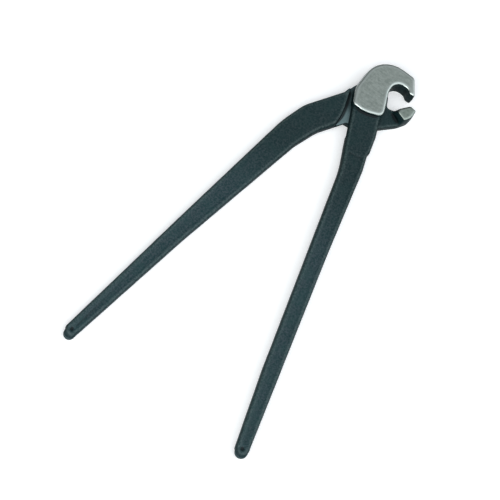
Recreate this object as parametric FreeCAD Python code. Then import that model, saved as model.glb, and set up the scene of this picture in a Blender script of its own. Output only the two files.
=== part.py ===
import FreeCAD, Part
import math
import os
from FreeCAD import Vector

# Fencing pliers: two drop-forged levers crossing in a lap joint on one rivet.
# The origin is on the rivet's axis, at the back face that rests on a table.
# +Z points to the ground front face, +Y to the jaws, and the handles run towards -Y.
# The rest pose is half open, with the lower jaw a little way below the hook.

# Driving dimensions, millimetres and degrees
HEAD_THICKNESS = 12.0
HANDLE_THICKNESS = 7.6
LAP_GAP = 0.1
HEAD_DRAFT = 3.0
HANDLE_DRAFT = 7.0
HEAD_RIM = 0.9
HANDLE_ROUNDING = 1.6
END_ROUNDING = 2.4
RIVET_RADIUS = 4.6
RIVET_HEAD_RADIUS = 6.4
RIVET_CLEARANCE = 0.05
JOINT_CLEAR_RADIUS = 17.0
CHANNEL_DEPTH = 0.45
CHANNEL_RIM = 2.4
CHANNEL_WALL = 0.9
PANEL_WALL = 55.0
RAMP_SLOPE = 1.2
DIMPLE_RADIUS = 3.6
DIMPLE_DEPTH = 1.15
MINIMUM_CORNER = 0.12
HEAD_EDGE_BANDS = 2
HANDLE_EDGE_BANDS = 4

PARTING = HEAD_THICKNESS / 2
HANDLE_FRONT = PARTING + HANDLE_THICKNESS / 2
HANDLE_BACK = PARTING - HANDLE_THICKNESS / 2
FRONT_LAP = PARTING + LAP_GAP / 2
BACK_LAP = PARTING - LAP_GAP / 2
ROOM_TOP = HEAD_THICKNESS + 1.0
BEYOND = 3.0
FAR = 300.0

# Outlines on the parting plane, as corners (x, y, rounding radius) in clockwise order.
# The hook's head: a flat plate over the rivet that curls round into the upper jaw.
HOOK_HEAD = [
    (-7.2, -8.3, 3.4),
    (-11.7, 2.5, 12.0),
    (-10.9, 33.4, 17.5),
    (15.5, 33.4, 3.5),
    (22.9, 21.6, 1.2),
    (17.8, 21.6, 0.6),
    (16.0, 23.6, 3.9),
    (7.3, 23.6, 5.7),
    (7.3, 14.3, 8.0),
    (13.8, -3.0, 4.2),
    (2.5, -8.6, 20.0),
]

# The hook's handle: its two sides, and the corners of its narrower rounded end.
HOOK_TOP = [(-9.4, -1.0, 1.5), (12.6, -1.0, 1.5)]
HOOK_RIGHT_SIDE = [
    (13.6, -6.0, 10.0),
    (17.6, -16.0, 25.0),
    (20.5, -28.5, 1.2),
    (20.1, -30.5, 1.5),
    (23.6, -42.0, 40.0),
    (37.1, -107.0, 400.0),
]
HOOK_LEFT_SIDE = [(45.7, -198.0, 300.0), (10.7, -50.0, 60.0)]
HOOK_SHOULDER_END = [(70.3, -254.0, 1.6), (61.0, -256.2, 1.6)]
HOOK_END = [(71.0, -258.4, 4.2), (62.5, -260.4, 4.2)]
HOOK_END_ROOT = [(60.4, -249.0, 2.0), (68.6, -247.0, 2.0)]

# The lower jaw's head: a plate behind the hook's, reaching out to a short upturned tip.
ANVIL_HEAD = [
    (-15.2, -2.2, 8.0),
    (-11.8, 8.4, 8.0),
    (-2.5, 15.0, 12.0),
    (8.8, 14.5, 3.0),
    (12.0, 7.0, 2.2),
    (18.6, 9.0, 3.5),
    (23.5, 15.6, 0.8),
    (28.2, 15.1, 1.0),
    (28.6, 8.1, 9.0),
    (24.3, 1.0, 12.0),
    (12.3, -12.0, 18.0),
    (3.0, -18.6, 10.0),
    (-8.0, -20.0, 1.5),
    (-15.0, -9.0, 1.5),
]

# The lower jaw's handle, bowed outwards at an elbow.
ANVIL_TOP = [(-11.0, 3.0, 1.5), (-1.0, -16.5, 2.0)]
ANVIL_RIGHT_SIDE = [(-13.9, -37.5, 35.0), (-20.0, -55.0, 60.0), (-41.6, -160.0, 600.0)]
ANVIL_LEFT_SIDE = [(-51.3, -142.0, 900.0), (-36.6, -47.0, 60.0), (-31.2, -28.5, 30.0), (-14.5, -1.5, 6.0)]
ANVIL_SHOULDER_END = [(-59.3, -257.4, 1.6), (-68.7, -258.8, 1.6)]
ANVIL_END = [(-60.1, -263.3, 3.9), (-68.2, -264.5, 3.9)]
ANVIL_END_ROOT = [(-66.6, -252.0, 2.0), (-58.6, -251.0, 2.0)]

# Where the hook's back half makes room for the lower jaw's plate to turn.
HOOK_JOINT_ROOM = [
    (-40.0, 8.0, 1.0),
    (5.0, 8.0, 1.0),
    (32.0, 3.0, 1.0),
    (32.0, -7.9, 1.0),
    (3.8, -20.4, 2.5),
    (0.8, -31.5, 1.0),
    (-40.0, -31.5, 1.0),
]

# Where the lower jaw's front half makes room for the hook's plate, neck and handle:
# the floor on the lap plane, and the same walls a little wider above the front face.
ANVIL_ROOM_FLOOR = [
    (-7.3, -33.0, 1.0),
    (-8.2, -18.0, 5.0),
    (-9.2, -12.9, 4.0),
    (-15.3, 8.0, 2.0),
    (-40.0, 12.0, 1.0),
    (-40.0, 40.0, 1.0),
    (14.5, 40.0, 1.0),
    (17.0, 6.2, 1.0),
    (24.6, 2.0, 6.0),
    (36.0, -1.0, 1.0),
    (36.0, -33.0, 1.0),
]
ANVIL_ROOM_TOP = [
    (-7.8, -33.0, 1.0),
    (-8.7, -18.0, 5.0),
    (-9.7, -12.9, 4.0),
    (-15.8, 8.0, 2.0),
    (-40.0, 12.0, 1.0),
    (-40.0, 40.0, 1.0),
    (17.6, 40.0, 1.0),
    (19.7, 6.0, 1.0),
    (26.4, 4.3, 4.0),
    (36.0, 4.3, 1.0),
    (36.0, -33.0, 1.0),
]

# Channels: where each begins on its handle, and the way its handle runs from -Y.
HOOK_HEADING = 13.0
HOOK_PANEL_START = (13.5, -35.5)
HOOK_RAMP_START = (30.0, -95.0)
ANVIL_HEADING = -10.0
ANVIL_PANEL_START = (-28.5, -56.0)
ANVIL_RAMP_START = (-36.0, -95.0)

# Round dimples at the channels' lower ends, in both faces.
HOOK_DIMPLE = (65.1, -254.9)
ANVIL_DIMPLE = (-64.5, -258.0)

# The bevel ground across the end of the lower jaw's tip.
TIP_BEVEL_START = (25.8, 14.0)
TIP_BEVEL_HEADING = 174.0
TIP_BEVEL_SLOPE = 45.0


def outline(corners, z, inset=0.0):
    """Closed wire of straight runs and tangent arcs, moved inwards by inset."""
    count = len(corners)
    points = [Vector(x, y, 0) for x, y, _ in corners]
    runs = [(points[(i + 1) % count] - points[i]).normalize() for i in range(count)]
    inward = [Vector(run.y, -run.x, 0) for run in runs]
    starts = []
    ends = []
    middles = []
    for i in range(count):
        before = runs[i - 1]
        after = runs[i]
        turn = math.atan2(after.x * before.y - after.y * before.x, before.dot(after))
        shift = (inward[i - 1] + inward[i]) * (inset / (1 + inward[i - 1].dot(inward[i])))
        corner = points[i] + shift + Vector(0, 0, z)
        radius = corners[i][2] - math.copysign(inset, turn)
        radius = max(radius, MINIMUM_CORNER)
        tangent = radius * math.tan(abs(turn) / 2)
        sagitta = radius / math.cos(turn / 2) - radius
        starts.append(corner - before * tangent)
        ends.append(corner + after * tangent)
        middles.append(corner + (after - before).normalize() * sagitta)
    edges = []
    for i in range(count):
        edges.append(Part.Arc(starts[i], middles[i], ends[i]).toShape())
        edges.append(Part.LineSegment(ends[i], starts[(i + 1) % count]).toShape())
    return Part.Wire(edges)


def forged_half(corners, face, draft, rounding, bands):
    """From the parting plane to one face, with drafted sides and an edge rounded in bands."""
    toward_face = math.copysign(1.0, face - PARTING)
    depth = abs(face - PARTING)
    wires = [outline(corners, PARTING)]
    for band in range(bands + 1):
        angle = math.pi / 2 * band / bands
        below_face = rounding * (1 - math.sin(angle))
        inset = (depth - below_face) * math.tan(math.radians(draft))
        inset += rounding * (1 - math.cos(angle))
        wires.append(outline(corners, face - toward_face * below_face, inset))
    return Part.makeLoft(wires, True, True)


def forged(corners, back, front, draft, rounding, bands):
    """A whole forging between two faces, parted on its middle plane."""
    front_half = forged_half(corners, front, draft, rounding, bands)
    back_half = forged_half(corners, back, draft, rounding, bands)
    return front_half.fuse(back_half)


def forged_head(corners):
    """The thick head of a lever, crisp at its edges."""
    return forged(corners, 0, HEAD_THICKNESS, HEAD_DRAFT, HEAD_RIM, HEAD_EDGE_BANDS)


def forged_handle(corners, rounding=HANDLE_ROUNDING):
    """A stretch of handle, thinner than the head and rounder at its edges."""
    return forged(corners, HANDLE_BACK, HANDLE_FRONT, HANDLE_DRAFT, rounding, HANDLE_EDGE_BANDS)


def prism(corners, low, high):
    """Straight prism of an outline between two heights."""
    return Part.Face(outline(corners, low)).extrude(Vector(0, 0, high - low))


def slanted_block(point, heading, slope):
    """Everything above a plane through point that slopes down towards the heading."""
    block = Part.makeBox(2 * FAR, 2 * FAR, FAR, Vector(-FAR, -FAR, 0))
    block.rotate(Vector(0, 0, 0), Vector(1, 0, 0), slope)
    block.rotate(Vector(0, 0, 0), Vector(0, 0, 1), heading)
    block.translate(point)
    return block


def channel(corners, start, heading, slope):
    """Shallow forged channel in a handle's front face, with a wall or ramp at its upper end."""
    floor = HANDLE_FRONT - CHANNEL_DEPTH
    top = HANDLE_FRONT + CHANNEL_DEPTH
    floor_wire = outline(corners, floor, CHANNEL_RIM + CHANNEL_WALL)
    top_wire = outline(corners, top, CHANNEL_RIM - CHANNEL_WALL)
    pocket = Part.makeLoft([floor_wire, top_wire], True, True)
    x, y = start
    return pocket.common(slanted_block(Vector(x, y, HANDLE_FRONT), heading, slope))


def on_back(shape):
    """The same shape on the handle's back face."""
    return shape.mirror(Vector(0, 0, PARTING), Vector(0, 0, 1))


def dimples(centre):
    """Two balls that sink a round dimple into each face of a handle."""
    x, y = centre
    ball = Part.makeSphere(DIMPLE_RADIUS, Vector(x, y, HANDLE_FRONT - DIMPLE_DEPTH + DIMPLE_RADIUS))
    return [ball, on_back(ball)]


def rivet_body(clearance):
    """Shank with a countersunk head at each face, grown all over by a clearance."""
    shank = RIVET_RADIUS + clearance
    head = RIVET_HEAD_RADIUS + clearance * math.sqrt(2)
    sink = head - shank
    over = BEYOND if clearance else 0.0
    body = Part.makeCylinder(shank, HEAD_THICKNESS + 2 * over, Vector(0, 0, -over))
    body = body.fuse(Part.makeCone(head, shank, sink))
    front = Part.makeCone(shank, head, sink, Vector(0, 0, HEAD_THICKNESS - sink))
    return body.fuse(front).removeSplitter()


def hook_lever():
    """The front lever: hook, rivet plate, neck and straight handle."""
    sides = HOOK_TOP + HOOK_RIGHT_SIDE
    handle = forged_handle(sides + HOOK_SHOULDER_END + HOOK_LEFT_SIDE)
    end = forged_handle(HOOK_END_ROOT + HOOK_END, END_ROUNDING)
    lever = forged_head(HOOK_HEAD).fuse([handle, end])
    joint_room = Part.makeCylinder(JOINT_CLEAR_RADIUS, FRONT_LAP + BEYOND, Vector(0, 0, -BEYOND))
    joint_room = joint_room.fuse(prism(HOOK_JOINT_ROOM, -BEYOND, FRONT_LAP))
    lever = lever.cut(joint_room)
    channel_sides = sides + HOOK_END + HOOK_LEFT_SIDE
    front_channel = channel(channel_sides, HOOK_PANEL_START, HOOK_HEADING, PANEL_WALL)
    back_channel = on_back(channel(channel_sides, HOOK_RAMP_START, HOOK_HEADING, RAMP_SLOPE))
    lever = lever.cut([front_channel, back_channel, rivet_body(0.0)] + dimples(HOOK_DIMPLE))
    return lever.removeSplitter()


def anvil_lever():
    """The rear lever: lower jaw, rear plate and bowed handle."""
    above_shoulder = Part.makeBox(FAR, 2 * FAR, FAR, Vector(-FAR, -FAR, HANDLE_FRONT))
    head = forged_head(ANVIL_HEAD).cut(above_shoulder)
    sides = ANVIL_TOP + ANVIL_RIGHT_SIDE
    handle = forged_handle(sides + ANVIL_SHOULDER_END + ANVIL_LEFT_SIDE)
    end = forged_handle(ANVIL_END_ROOT + ANVIL_END, END_ROUNDING)
    lever = head.fuse([handle, end])
    room_floor = outline(ANVIL_ROOM_FLOOR, BACK_LAP)
    room_top = outline(ANVIL_ROOM_TOP, ROOM_TOP)
    lever = lever.cut(Part.makeLoft([room_floor, room_top], True, True))
    x, y = TIP_BEVEL_START
    tip_bevel = slanted_block(Vector(x, y, HEAD_THICKNESS), TIP_BEVEL_HEADING, TIP_BEVEL_SLOPE)
    channel_sides = sides + ANVIL_END + ANVIL_LEFT_SIDE
    front_channel = channel(channel_sides, ANVIL_RAMP_START, ANVIL_HEADING, RAMP_SLOPE)
    back_channel = on_back(channel(channel_sides, ANVIL_PANEL_START, ANVIL_HEADING, PANEL_WALL))
    lever = lever.cut([tip_bevel, front_channel, back_channel, rivet_body(RIVET_CLEARANCE)])
    lever = lever.cut(dimples(ANVIL_DIMPLE))
    return lever.removeSplitter()


def save(name, shape):
    """One solid, checked and written to its own file."""
    solid = shape.Solids[0]
    print(name, len(shape.Solids), solid.isValid(), round(solid.Volume), solid.BoundBox)
    solid.exportStep("parts/" + name + ".step")


os.makedirs("parts", exist_ok=True)
save("hook_jaw_lever", hook_lever())
save("anvil_jaw_lever", anvil_lever())
save("pivot_rivet", rivet_body(0.0))
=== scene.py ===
"""Fencing pliers: two forged levers, re-sculpted from the frame's solids, and their rivet."""

import math

import bmesh
import bpy
import numpy as np
import openvdb
from mathutils import Matrix, Vector, noise


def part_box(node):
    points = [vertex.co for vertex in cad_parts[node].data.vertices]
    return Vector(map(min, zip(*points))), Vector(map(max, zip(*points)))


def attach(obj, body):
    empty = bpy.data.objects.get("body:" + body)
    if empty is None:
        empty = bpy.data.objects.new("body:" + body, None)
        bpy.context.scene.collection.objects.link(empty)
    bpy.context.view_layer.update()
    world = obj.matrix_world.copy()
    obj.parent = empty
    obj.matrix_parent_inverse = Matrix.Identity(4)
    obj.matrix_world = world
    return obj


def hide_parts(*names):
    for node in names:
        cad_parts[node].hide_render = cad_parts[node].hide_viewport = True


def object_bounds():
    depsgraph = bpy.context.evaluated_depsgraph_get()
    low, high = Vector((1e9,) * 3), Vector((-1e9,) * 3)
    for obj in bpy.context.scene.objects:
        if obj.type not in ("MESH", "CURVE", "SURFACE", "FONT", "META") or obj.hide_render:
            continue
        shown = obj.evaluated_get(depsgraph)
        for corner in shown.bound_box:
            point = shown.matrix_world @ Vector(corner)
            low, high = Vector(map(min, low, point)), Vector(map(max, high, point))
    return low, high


MM = 0.001

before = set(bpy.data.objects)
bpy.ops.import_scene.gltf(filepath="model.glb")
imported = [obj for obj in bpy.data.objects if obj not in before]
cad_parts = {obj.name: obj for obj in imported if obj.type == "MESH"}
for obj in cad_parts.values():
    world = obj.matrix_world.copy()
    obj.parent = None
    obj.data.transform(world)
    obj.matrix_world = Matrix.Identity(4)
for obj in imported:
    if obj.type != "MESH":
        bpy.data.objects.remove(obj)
cad_low, cad_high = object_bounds()
centre = (cad_low + cad_high) / 2

# Camera: looking down at the tool from the handle side, rolled about its line of sight
CAMERA_ELEVATION = math.radians(60.0)
CAMERA_ROLL = math.radians(36.4)
CAMERA_DISTANCE = 13.87
CAMERA_LENS = 1600.0
CAMERA_REACH = 50.0
CAMERA_AIM = Vector((centre.x - 5.1 * MM, centre.y - 19.6 * MM, centre.z))

# The rivet as it was packed
rivet_low, rivet_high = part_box("pivot_rivet")
RIVET_HEAD = rivet_high.x
rivet_radii = [math.hypot(v.co.x, v.co.y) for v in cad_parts["pivot_rivet"].data.vertices]
RIVET_SHANK = min(radius for radius in rivet_radii if radius > RIVET_HEAD / 2)
RIVET_SINK = RIVET_HEAD - RIVET_SHANK
RIVET_BEVEL = 0.05 * MM
TURNED_SIDES = 128
HOLE_GAP = {"hook_jaw_lever": 0.0, "anvil_jaw_lever": 0.05 * MM}
CUTTER_OVER = 2 * MM
HEAD_TOP = rivet_high.z
PARTING = HEAD_TOP / 2

# Sculpting of the forgings: the handle's form takes over from the head's between two places in Y
VOXEL = 0.4 * MM
BAND = 10
HEAD_SOFTNESS = 0.36 * MM
HANDLE_SOFTNESS = 0.42 * MM
HEAD_ENDS = -14 * MM
HANDLE_STARTS = -34 * MM
LUMP_SIZE = 9 * MM
LUMP_HEIGHT = 0.07 * MM
FLASH_HEIGHT = 0.10 * MM
FLASH_WIDTH = 0.55 * MM
FLASH_RAGGED = 2.0
FLASH_WALLS = (0.3, 0.7)
EDGE_REACH = 1.2 * MM
CREASE = math.radians(38)

# Colours: a pair runs from a surface's dark marks to its light ones
FRONT_STEEL = ((0.28, 0.328, 0.298, 1.0), (0.445, 0.50, 0.463, 1.0))
REAR_STEEL = ((0.215, 0.268, 0.23, 1.0), (0.335, 0.398, 0.35, 1.0))
# Painted highlight: the pale steel that convex rims are brightened towards, besides their burnish
BURNISHED_HIGHLIGHT_STEEL = (0.50, 0.56, 0.53, 1.0)
HEAD_LACQUER = ((0.003, 0.019, 0.021, 1.0), (0.022, 0.039, 0.042, 1.0))
# Painted light: the handle ends' lacquer is paler than the head's
END_LACQUER = ((0.009, 0.034, 0.038, 1.0), (0.038, 0.060, 0.069, 1.0))
HEAD_PATCH = (0.010, 0.033, 0.034, 1.0)
END_PATCH = (0.019, 0.055, 0.056, 1.0)
WORN_LACQUER = (0.09, 0.13, 0.125, 1.0)
RUBBED_LACQUER = (0.16, 0.24, 0.25, 1.0)
# Painted shade: the colour that steep walls are darkened towards
WALL_SHADE_LACQUER = (0.003, 0.008, 0.009, 1.0)
# Painted highlight: the paler colour along the parting line of the handles
FLASH_HIGHLIGHT_LACQUER = (0.05, 0.085, 0.09, 1.0)
# Painted shade: the colour that concave places are darkened towards
HOLLOW_SHADE_LACQUER = (0.002, 0.005, 0.006, 1.0)
FLOOR_COLOURS = ((0.84, 0.85, 0.85, 1.0), (0.88, 0.89, 0.89, 1.0))

# Grain of the finishes; a contrast is the span of a noise's values that is used
MARK_SIZE = 0.16 * MM
MARK_STRETCH = (40, 1, 1)
STREAK_SIZE = 1.1 * MM
STREAK_STRETCH = (9, 1, 1)
CLOUD_SIZE = 1.6 * MM
MOTTLE_SIZE = 1.2 * MM
PATCH_SIZE = 11 * MM
PEEL_SIZE = 0.9 * MM
MARK_DEPTH = 0.02 * MM
PEEL_DEPTH = 0.05 * MM
PATCH_DEPTH = 0.25 * MM
NOISE_SPAN = (0.3, 0.7)
STEEL_CONTRAST = (0.38, 0.62)
MOTTLE_CONTRAST = (0.36, 0.64)
PATCH_CONTRAST = (0.4, 0.7)
PATCH_SHARE = 0.4
STEEL_ROUGHNESS = (0.50, 0.36)
BURNISHED_ROUGHNESS = 0.30
LACQUER_ROUGHNESS = (0.36, 0.50)
LACQUER_SHINE = (0.2, 0.03)
STEEL_SHINE = 0.5

# Where each finish fades in, from none to full
FRONT_GROUND = (HEAD_TOP - 0.80 * MM, HEAD_TOP - 0.62 * MM)
BACK_GROUND = (0.55 * MM, 0.40 * MM)
GROUND_WAVER = 0.12 * MM
GROUND_TILT = 0.12
# Painted light: where the lacquer grows paler, from near the joint to the handle ends
LACQUER_LIT_TOWARD_ENDS = (-45 * MM, -120 * MM)
FLASH_HIGHLIGHT_NEAR_PARTING = (1.1 * MM, 0.4 * MM)
FLASH_HIGHLIGHT_ALONG = (-80 * MM, -110 * MM)
FLASH_HIGHLIGHT_SHARE = 0.6
RUB_NEAR_PARTING = (0.3 * MM, 0.15 * MM)
RUB_ACROSS = (2 * MM, -3 * MM)
RUB_ALONG = (-8 * MM, -15 * MM)
RUB_LEVEL = (0.8, 0.95)
RUB_FAINTEST = 0.3
RUB_SPACING = 0.7 * MM
RUB_WARP = 3.0
RUB_CONTRAST = (0.1, 0.9)
RUB_BETWEEN_ARCS = 0.5
WALLS = (0.97, 0.6)
WALL_SHADE_SHARE = 0.45
BURNISHED_HIGHLIGHT_RIMS = (0.05, 0.20)
WORN_RIMS = (0.10, 0.30)
WORN_LEVEL = (0.3, 0.7)
WORN_CONTRAST = (0.35, 0.65)
WORN_SHARE = (0.1, 0.4)
SHADED_HOLLOWS = (-0.03, -0.18)
HOLLOW_SHADE_SHARE = 0.85

# Studio: a glowing floor, one weak light, and a sky that is bright on one side and dark low down
FLOOR_SIZE = 8.0
FLOOR_CLOUD = 0.5
FLOOR_GLOW = 0.4
KEY_PLACE = (-0.25, -0.95, 0.75)
KEY_SIZE = 0.8
KEY_POWER = 6
SKY_COLOUR = (0.93, 0.96, 1.0, 1.0)
SKY_DARK = 0.03
SKY_DIM = 0.54
SKY_BRIGHT = 1.5
SKY_RISE = (0.35, 0.95)
GLOW_DIRECTION = (0.95, -0.30)
GLOW_EDGE = (-0.08, 0.15)
GLOW_RISE = (0.15, 0.4)


def add_piece(name, data):
    """A new object in the scene, from a mesh, a camera or a light."""
    piece = bpy.data.objects.new(name, data)
    bpy.context.scene.collection.objects.link(piece)
    return piece


def make_camera():
    """The camera, far off with a long lens, so that the view is nearly parallel."""
    data = bpy.data.cameras.new("camera")
    data.lens = CAMERA_LENS
    data.clip_end = CAMERA_REACH
    camera = add_piece("camera", data)
    back = Vector((0, -math.cos(CAMERA_ELEVATION), math.sin(CAMERA_ELEVATION)))
    level = back.to_track_quat("Z", "Y").to_matrix()
    turned = level @ Matrix.Rotation(CAMERA_ROLL, 3, "Z")
    camera.matrix_world = Matrix.Translation(CAMERA_AIM + back * CAMERA_DISTANCE) @ turned.to_4x4()
    bpy.context.scene.camera = camera


# ---- Sculpting ----

def points_of(mesh):
    """A mesh's points as an array of rows."""
    points = np.empty(len(mesh.vertices) * 3, np.float32)
    mesh.vertices.foreach_get("co", points)
    return points.reshape(-1, 3)


def triangles_of(node):
    """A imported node's corners, each point once, and its triangles."""
    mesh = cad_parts[node].data
    mesh.calc_loop_triangles()
    corners = np.empty(len(mesh.loop_triangles) * 3, np.int32)
    mesh.loop_triangles.foreach_get("vertices", corners)
    joined, places = np.unique(points_of(mesh).round(7), axis=0, return_inverse=True)
    return joined.astype(np.float32), places.reshape(-1)[corners].reshape(-1, 3).astype(np.uint32)


def distance_field(node, low, shape):
    """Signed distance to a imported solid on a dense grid, negative inside it."""
    points, triangles = triangles_of(node)
    spacing = openvdb.createLinearTransform(voxelSize=VOXEL)
    grid = openvdb.FloatGrid.createLevelSetFromPolygons(
        points, triangles=triangles, transform=spacing, halfWidth=BAND)
    field = np.empty(shape, np.float32)
    grid.copyToArray(field, ijk=tuple(int(i) for i in low))
    return field


def hole_filled(field, node, low):
    """The field with the rivet's hole filled flush with the faces around it."""
    rims = [v.co.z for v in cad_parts[node].data.vertices
            if math.hypot(v.co.x, v.co.y) < RIVET_HEAD + VOXEL]
    x, y, z = [(np.arange(count) + start) * VOXEL for count, start in zip(field.shape, low)]
    slab = np.maximum(z - max(rims), min(rims) - z).astype(np.float32)
    plug = np.hypot(x[:, None], y[None, :]) < RIVET_HEAD + VOXEL
    return np.where(plug[:, :, None], slab[None, None, :], field)


def blurred(field, softness):
    """Gaussian blur, which rounds edges and fills corners by about its width."""
    sigma = softness / VOXEL
    reach = math.ceil(3 * sigma)
    weights = np.exp(-0.5 * (np.arange(-reach, reach + 1) / sigma) ** 2)
    weights = (weights / weights.sum()).astype(np.float32)
    for axis in range(3):
        margins = [(reach, reach) if i == axis else (0, 0) for i in range(3)]
        padded = np.moveaxis(np.pad(field, margins, mode="edge"), axis, 0)
        count = field.shape[axis]
        total = sum(w * padded[i:i + count] for i, w in enumerate(weights))
        field = np.moveaxis(total, 0, axis)
    return field


def ramp(values, start, end):
    """Smooth step from 0 at start to 1 at end."""
    share = np.clip((values - start) / (end - start), 0, 1)
    return share * share * (3 - 2 * share)


def sampled(field, low, points):
    """The field's values at points, by trilinear interpolation."""
    at = points / VOXEL - low
    cell = np.clip(np.floor(at).astype(int), 0, np.array(field.shape) - 2)
    part = at - cell
    total = np.zeros(len(points), np.float32)
    for corner in np.ndindex(2, 2, 2):
        share = np.prod(np.where(corner, part, 1 - part), axis=1)
        total += share * field[tuple((cell + corner).T)]
    return total


def surface_piece(name, field, low):
    """An object on the surface where the field is zero."""
    grid = openvdb.FloatGrid(BAND * VOXEL)
    grid.copyFromArray(np.ascontiguousarray(field), ijk=tuple(int(i) for i in low))
    grid.transform = openvdb.createLinearTransform(voxelSize=VOXEL)
    points, quads = grid.convertToQuads(0.0)
    mesh = bpy.data.meshes.new(name)
    mesh.from_pydata(points.tolist(), [], quads[:, ::-1].tolist())
    mesh.update()
    return add_piece(name, mesh)


def rivet_profile():
    """Radius and height along the rivet's side: heads at 45 degrees, hairline bevels at the ends."""
    low = rivet_low.z
    high = rivet_high.z
    edge = RIVET_HEAD - RIVET_BEVEL
    return [(edge - RIVET_BEVEL, low), (edge, low + RIVET_BEVEL),
            (RIVET_SHANK, low + RIVET_SINK), (RIVET_SHANK, high - RIVET_SINK),
            (edge, high - RIVET_BEVEL), (edge - RIVET_BEVEL, high)]


def hole_profile(gap):
    """Radius and height along the rivet's hole, wider by a gap and carried past its ends."""
    low = rivet_low.z
    high = rivet_high.z
    shank = RIVET_SHANK + gap
    head = RIVET_HEAD + gap
    return [(head, low - CUTTER_OVER), (head, low), (shank, low + RIVET_SINK),
            (shank, high - RIVET_SINK), (head, high), (head, high + CUTTER_OVER)]


def turned_piece(name, profile):
    """A solid of revolution about the rivet's axis, closed at both ends."""
    shape = bmesh.new()
    angles = [2 * math.pi * i / TURNED_SIDES for i in range(TURNED_SIDES)]
    rings = [[shape.verts.new((radius * math.cos(a), radius * math.sin(a), height)) for a in angles]
             for radius, height in profile]
    for lower, upper in zip(rings, rings[1:]):
        for i in range(TURNED_SIDES):
            after = (i + 1) % TURNED_SIDES
            shape.faces.new((lower[i], lower[after], upper[after], upper[i]))
    shape.faces.new(rings[0][::-1])
    shape.faces.new(rings[-1])
    mesh = bpy.data.meshes.new(name)
    shape.to_mesh(mesh)
    shape.free()
    return add_piece(name, mesh)


def cut_hole(piece, gap):
    """Cuts the rivet's hole and countersinks with crisp edges."""
    cutter = turned_piece("cutter", hole_profile(gap))
    cut = piece.modifiers.new("hole", "BOOLEAN")
    cut.operation = "DIFFERENCE"
    cut.solver = "MANIFOLD"
    cut.object = cutter
    graph = bpy.context.evaluated_depsgraph_get()
    result = bpy.data.meshes.new_from_object(piece.evaluated_get(graph))
    piece.modifiers.clear()
    piece.data = result
    bpy.data.objects.remove(cutter)


def roughen(piece):
    """Uneven forged skin and the trimmed flash along the parting line of the handle."""
    mesh = piece.data
    points = points_of(mesh)
    normals = np.array([v.vector for v in mesh.vertex_normals], np.float32)
    handle = ramp(points[:, 1], HEAD_ENDS, HANDLE_STARTS)
    lumps = np.array([noise.noise(Vector(p) / LUMP_SIZE) for p in points], np.float32)
    from_parting = (points[:, 2] - PARTING) / FLASH_WIDTH
    upright = 1 - ramp(np.abs(normals[:, 2]), *FLASH_WALLS)
    flash = np.exp(-from_parting ** 4) * upright * (1 + FLASH_RAGGED * lumps)
    height = handle * (LUMP_HEIGHT * lumps + FLASH_HEIGHT * flash)
    points += normals * height[:, None]
    mesh.vertices.foreach_set("co", points.ravel())
    mesh.update()


def mark_edges(piece, field, low):
    """Stores how convex the surface is at each point, for wear and for the painted shade in hollows.
    """
    points = points_of(piece.data)
    sharpness = (sampled(blurred(field, EDGE_REACH), low, points) - sampled(field, low, points)) / MM
    layer = piece.data.attributes.new("convex", "FLOAT", "POINT")
    layer.data.foreach_set("value", np.clip(sharpness, -1, 1).astype(np.float32))


def dress(piece, skin):
    """Smooth shading that keeps creases, and the piece's one material."""
    piece.data.shade_smooth()
    piece.data.set_sharp_from_angle(angle=CREASE)
    piece.data.materials.clear()
    piece.data.materials.append(skin)


def sculpted_lever(node, body, skin):
    """One forged lever: softer than its solid on the handle, crisp and flat at the head."""
    box_low, box_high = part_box(node)
    low = np.floor(np.array(box_low) / VOXEL).astype(int) - BAND
    shape = tuple(np.ceil(np.array(box_high) / VOXEL).astype(int) + BAND - low)
    filled = hole_filled(distance_field(node, low, shape), node, low)
    along = (np.arange(shape[1]) + low[1]) * VOXEL
    handle = ramp(along, HEAD_ENDS, HANDLE_STARTS)[None, :, None].astype(np.float32)
    field = blurred(filled, HEAD_SOFTNESS) * (1 - handle)
    field += blurred(filled, HANDLE_SOFTNESS) * handle
    piece = surface_piece(node.replace("_lever", "_forging"), field, low)
    roughen(piece)
    cut_hole(piece, HOLE_GAP[node])
    mark_edges(piece, field, low)
    dress(piece, skin)
    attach(piece, body)
    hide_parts(node)


def make_rivet(skin):
    """The rivet, ground flush at both faces, with a hairline at its edge."""
    rivet = turned_piece("rivet", rivet_profile())
    dress(rivet, skin)
    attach(rivet, "hook_lever")
    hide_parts("pivot_rivet")


# ---- Materials ----

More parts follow.
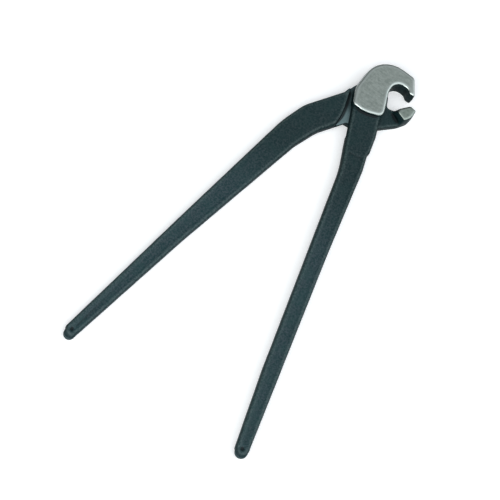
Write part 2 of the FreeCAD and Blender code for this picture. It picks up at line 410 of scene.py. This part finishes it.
class Nodes:
    """Short ways to add nodes to one shader tree."""

    # A mix node's two inputs and its output, for each kind of value
    MIX_SOCKETS = {"FLOAT": (2, 3, 0), "VECTOR": (4, 5, 1), "RGBA": (6, 7, 2)}

    def __init__(self, tree, space):
        self.nodes = tree.nodes
        self.links = tree.links
        self.place = self.nodes.new("ShaderNodeTexCoord").outputs[space]

    def feed(self, socket, value):
        """Sets a socket to a number or colour, or links another node's output to it."""
        if isinstance(value, bpy.types.NodeSocket):
            self.links.new(value, socket)
        else:
            socket.default_value = value

    def noise(self, size, detail=3.0, rough=0.5, stretch=(1, 1, 1), warp=0.0):
        """Noise with lumps of a given size in metres, drawn out along an axis by stretch."""
        mapping = self.nodes.new("ShaderNodeMapping")
        mapping.inputs["Scale"].default_value = [1 / (size * s) for s in stretch]
        self.links.new(self.place, mapping.inputs["Vector"])
        node = self.nodes.new("ShaderNodeTexNoise")
        node.inputs["Scale"].default_value = 1.0
        node.inputs["Detail"].default_value = detail
        node.inputs["Roughness"].default_value = rough
        node.inputs["Distortion"].default_value = warp
        self.links.new(mapping.outputs["Vector"], node.inputs["Vector"])
        return node.outputs["Fac"]

    def rings(self, spacing, warp):
        """Uneven rings about the rivet's axis."""
        node = self.nodes.new("ShaderNodeTexWave")
        node.wave_type = "RINGS"
        node.rings_direction = "Z"
        node.inputs["Scale"].default_value = math.pi / (10 * spacing)
        node.inputs["Distortion"].default_value = warp
        node.inputs["Detail"].default_value = 3.0
        self.links.new(self.place, node.inputs["Vector"])
        return node.outputs["Fac"]

    def spread(self, value, start, end, low=0.0, high=1.0):
        """Smoothly takes start..end of a value to low..high."""
        node = self.nodes.new("ShaderNodeMapRange")
        node.interpolation_type = "SMOOTHSTEP"
        for name, number in zip(("From Min", "From Max", "To Min", "To Max"),
                                (start, end, low, high)):
            node.inputs[name].default_value = number
        self.feed(node.inputs["Value"], value)
        return node.outputs["Result"]

    def calc(self, operation, *values):
        """One arithmetic step on one or two numbers."""
        node = self.nodes.new("ShaderNodeMath")
        node.operation = operation
        for socket, value in zip(node.inputs, values):
            self.feed(socket, value)
        return node.outputs["Value"]

    def product(self, first, *others):
        """Several numbers multiplied together."""
        for other in others:
            first = self.calc("MULTIPLY", first, other)
        return first

    def mix(self, share, a, b, kind="RGBA"):
        """Between two colours, two numbers or two vectors."""
        node = self.nodes.new("ShaderNodeMix")
        node.data_type = kind
        first, second, result = self.MIX_SOCKETS[kind]
        self.feed(node.inputs[0], share)
        self.feed(node.inputs[first], a)
        self.feed(node.inputs[second], b)
        return node.outputs[result]

    def part(self, vector, axis):
        """One component of a vector."""
        node = self.nodes.new("ShaderNodeSeparateXYZ")
        self.links.new(vector, node.inputs[0])
        return node.outputs[axis]

    def bump(self, relief, depth, under=None):
        """Small relief of a depth in metres, on top of another."""
        node = self.nodes.new("ShaderNodeBump")
        node.inputs["Strength"].default_value = 1.0
        node.inputs["Distance"].default_value = depth
        self.feed(node.inputs["Height"], relief)
        if under:
            self.links.new(under, node.inputs["Normal"])
        return node.outputs["Normal"]


class Finish(Nodes):
    """One material under construction, placed by the piece's own coordinates."""

    def __init__(self, name):
        self.material = bpy.data.materials.new(name)
        self.material.use_nodes = True
        super().__init__(self.material.node_tree, "Object")
        self.shader = self.nodes["Principled BSDF"]

    def uprightness(self):
        """How much the surface faces up, from -1 to 1."""
        return self.part(self.nodes.new("ShaderNodeNewGeometry").outputs["Normal"], "Z")

    def from_parting(self):
        """Distance from the forging's parting plane, on either side."""
        level = self.calc("SUBTRACT", self.part(self.place, "Z"), PARTING)
        return self.calc("ABSOLUTE", level)

    def attribute(self, name):
        """A number stored on the mesh."""
        node = self.nodes.new("ShaderNodeAttribute")
        node.attribute_name = name
        return node.outputs["Fac"]

    def set(self, **values):
        """Feeds the Principled node's inputs, named with _ for a space."""
        for name, value in values.items():
            self.feed(self.shader.inputs[name.replace("_", " ")], value)


def ground_steel(finish, tones):
    """Colour, roughness and relief of steel ground on a belt, with the marks across the head."""
    marks = finish.noise(MARK_SIZE, 2, 0.6, MARK_STRETCH, 0.3)
    streaks = finish.noise(STREAK_SIZE, 3, 0.6, STREAK_STRETCH, 0.4)
    clouds = finish.noise(CLOUD_SIZE, 4, 0.6)
    shade = finish.mix(0.45, marks, streaks, "FLOAT")
    shade = finish.mix(0.45, shade, clouds, "FLOAT")
    tint = finish.mix(finish.spread(shade, *STEEL_CONTRAST), *tones)
    rough = finish.spread(shade, *NOISE_SPAN, *STEEL_ROUGHNESS)
    relief = finish.mix(0.5, marks, streaks, "FLOAT")
    return tint, rough, relief


def lacquer_colour(finish, mottle, patches):
    """Mottled blue-black lacquer, paler on the handles than near the joint, by painted light that
    grows towards the handle ends.
    """
    fine = finish.spread(mottle, *MOTTLE_CONTRAST)
    # Painted light: the lacquer shifts to its paler end colours along the handle
    reach = finish.spread(finish.part(finish.place, "Y"), *LACQUER_LIT_TOWARD_ENDS)
    mottled = finish.mix(reach, finish.mix(fine, *HEAD_LACQUER), finish.mix(fine, *END_LACQUER))
    return finish.mix(finish.spread(patches, *PATCH_CONTRAST, 0, PATCH_SHARE),
                      mottled, finish.mix(reach, HEAD_PATCH, END_PATCH))


def bare_steel_mask(finish, mottle, steepest):
    """Where grinding has taken the lacquer off both faces of the head."""
    waver = finish.product(finish.spread(mottle, *NOISE_SPAN, -1, 1), GROUND_WAVER)
    height = finish.calc("ADD", finish.part(finish.place, "Z"), waver)
    ground = finish.calc("MAXIMUM", finish.spread(height, *FRONT_GROUND),
                         finish.spread(height, *BACK_GROUND))
    level = finish.calc("ABSOLUTE", finish.uprightness())
    return finish.product(ground, finish.spread(level, steepest, steepest + GROUND_TILT))


def lap_rub(finish):
    """Where the neck has rubbed the lower jaw's lap face, in arcs about the rivet."""
    on_lap = finish.spread(finish.from_parting(), *RUB_NEAR_PARTING)
    left = finish.spread(finish.part(finish.place, "X"), *RUB_ACROSS)
    up = finish.spread(finish.uprightness(), *RUB_LEVEL)
    outer = finish.spread(finish.part(finish.place, "Y"), *RUB_ALONG, RUB_FAINTEST, 1)
    arcs = finish.spread(finish.rings(RUB_SPACING, RUB_WARP), *RUB_CONTRAST, RUB_BETWEEN_ARCS, 1)
    return finish.product(on_lap, left, up, arcs, outer)


def worn_with_painted_light(finish, lacquer, mottle, convex, steep, rubbed):
    """Lacquer worn at its edges and on the lap, with painted shade darkening the walls and the
    hollows, and a painted highlight along the handles' parting line.
    """
    worn = finish.product(finish.spread(convex, *WORN_RIMS),
                          finish.spread(mottle, *WORN_CONTRAST, *WORN_SHARE),
                          finish.spread(finish.uprightness(), *WORN_LEVEL))
    lacquer = finish.mix(worn, lacquer, WORN_LACQUER)
    if rubbed:
        lacquer = finish.mix(lap_rub(finish), lacquer, RUBBED_LACQUER)
    # Painted shade: steep walls darkened towards near-black, standing in for the shade that falls on
    # them
    lacquer = finish.mix(finish.product(steep, WALL_SHADE_SHARE), lacquer, WALL_SHADE_LACQUER)
    # Painted highlight: a paler band along the parting line on the lower handles, standing in for
    # light caught by the flash
    flash = finish.product(finish.spread(finish.from_parting(), *FLASH_HIGHLIGHT_NEAR_PARTING, 0, FLASH_HIGHLIGHT_SHARE),
                           finish.spread(finish.part(finish.place, "Y"), *FLASH_HIGHLIGHT_ALONG))
    lacquer = finish.mix(flash, lacquer, FLASH_HIGHLIGHT_LACQUER)
    # Painted shade: concave places darkened towards near-black, standing in for the shade in creases
    # and under the plate
    hollow = finish.spread(convex, *SHADED_HOLLOWS, 0, HOLLOW_SHADE_SHARE)
    return finish.mix(hollow, lacquer, HOLLOW_SHADE_LACQUER)


def forged_finish(name, tones, steepest, burnish_and_highlight, rubbed):
    """Black lacquer over a forged skin, ground through to bright steel at the head's two faces.

    steepest is the least uprightness at which the steel shows, and burnish is how bright its rims are.
    """
    finish = Finish(name)
    convex = finish.attribute("convex")
    steel, steel_rough, steel_relief = ground_steel(finish, tones)
    # Painted highlight: convex rims brightened towards pale steel to stand in for their reflection;
    # the lower roughness is a burnished edge
    rims = finish.spread(convex, *BURNISHED_HIGHLIGHT_RIMS, 0, burnish_and_highlight)
    steel = finish.mix(rims, steel, BURNISHED_HIGHLIGHT_STEEL)
    steel_rough = finish.mix(rims, steel_rough, BURNISHED_ROUGHNESS, "FLOAT")

    mottle = finish.noise(MOTTLE_SIZE, 3, 0.6, warp=0.4)
    patches = finish.noise(PATCH_SIZE, 3, 0.5, warp=0.4)
    steep = finish.spread(finish.uprightness(), *WALLS)
    lacquer = lacquer_colour(finish, mottle, patches)
    lacquer = worn_with_painted_light(finish, lacquer, mottle, convex, steep, rubbed)
    lacquer_rough = finish.spread(mottle, *NOISE_SPAN, *LACQUER_ROUGHNESS)
    peel = finish.bump(finish.noise(PEEL_SIZE, 3, 0.55), PEEL_DEPTH)

    bare = bare_steel_mask(finish, mottle, steepest)
    shine = finish.spread(steep, 0, 1, *LACQUER_SHINE)
    finish.set(Base_Color=finish.mix(bare, lacquer, steel),
               Specular_IOR_Level=finish.mix(bare, shine, STEEL_SHINE, "FLOAT"),
               Metallic=bare,
               Roughness=finish.mix(bare, lacquer_rough, steel_rough, "FLOAT"),
               Normal=finish.mix(bare, finish.bump(patches, PATCH_DEPTH, peel),
                                 finish.bump(steel_relief, MARK_DEPTH), "VECTOR"))
    return finish.material


def ground_finish(name, tones):
    """Bright ground steel all over, for the rivet."""
    finish = Finish(name)
    steel, rough, relief = ground_steel(finish, tones)
    finish.set(Base_Color=steel, Metallic=1.0, Roughness=rough,
               Normal=finish.bump(relief, MARK_DEPTH))
    return finish.material


def floor_finish():
    """A plain pale floor that glows a little, so that shadows on it stay faint."""
    finish = Finish("floor")
    tint = finish.mix(finish.noise(FLOOR_CLOUD, 2, 0.5), *FLOOR_COLOURS)
    finish.set(Base_Color=tint, Roughness=0.9, Emission_Color=tint, Emission_Strength=FLOOR_GLOW)
    return finish.material


# ---- Stage ----

def make_key_light():
    """One square soft light, low over the handle side, aimed at the tool."""
    data = bpy.data.lights.new("key", "AREA")
    data.size = KEY_SIZE
    data.energy = KEY_POWER
    light = add_piece("key", data)
    light.location = KEY_PLACE
    light.rotation_mode = "QUATERNION"
    away = Vector(KEY_PLACE) - Vector((centre.x, centre.y, 0))
    light.rotation_quaternion = away.to_track_quat("Z", "Y")


def make_world():
    """Soft light from above, brightest over the side that the jaws point to, dark low down."""
    world = bpy.data.worlds.new("world")
    world.use_nodes = True
    sky = Nodes(world.node_tree, "Generated")
    toward = sky.calc("ADD", sky.product(sky.part(sky.place, "X"), GLOW_DIRECTION[0]),
                      sky.product(sky.part(sky.place, "Y"), GLOW_DIRECTION[1]))
    rise = sky.part(sky.place, "Z")
    glow = sky.product(sky.spread(toward, *GLOW_EDGE), sky.spread(rise, *GLOW_RISE))
    dim = sky.spread(rise, *SKY_RISE, SKY_DARK, SKY_DIM)
    background = sky.nodes["Background"]
    background.inputs["Color"].default_value = SKY_COLOUR
    sky.feed(background.inputs["Strength"], sky.mix(glow, dim, SKY_BRIGHT, "FLOAT"))
    bpy.context.scene.world = world


def make_stage():
    """Floor, key light and sky."""
    bpy.ops.mesh.primitive_plane_add(size=FLOOR_SIZE, location=(0, 0, 0))
    floor = bpy.context.object
    floor.name = "floor"
    floor.data.materials.append(floor_finish())
    make_key_light()
    make_world()
    bpy.context.scene.view_settings.view_transform = "Standard"


make_camera()
sculpted_lever("hook_jaw_lever", "hook_lever",
               forged_finish("front_forging", FRONT_STEEL, steepest=0.1, burnish_and_highlight=1.0, rubbed=False))
sculpted_lever("anvil_jaw_lever", "anvil_lever",
               forged_finish("rear_forging", REAR_STEEL, steepest=0.5, burnish_and_highlight=0.25, rubbed=True))
make_rivet(ground_finish("rivet_steel", FRONT_STEEL))
make_stage()
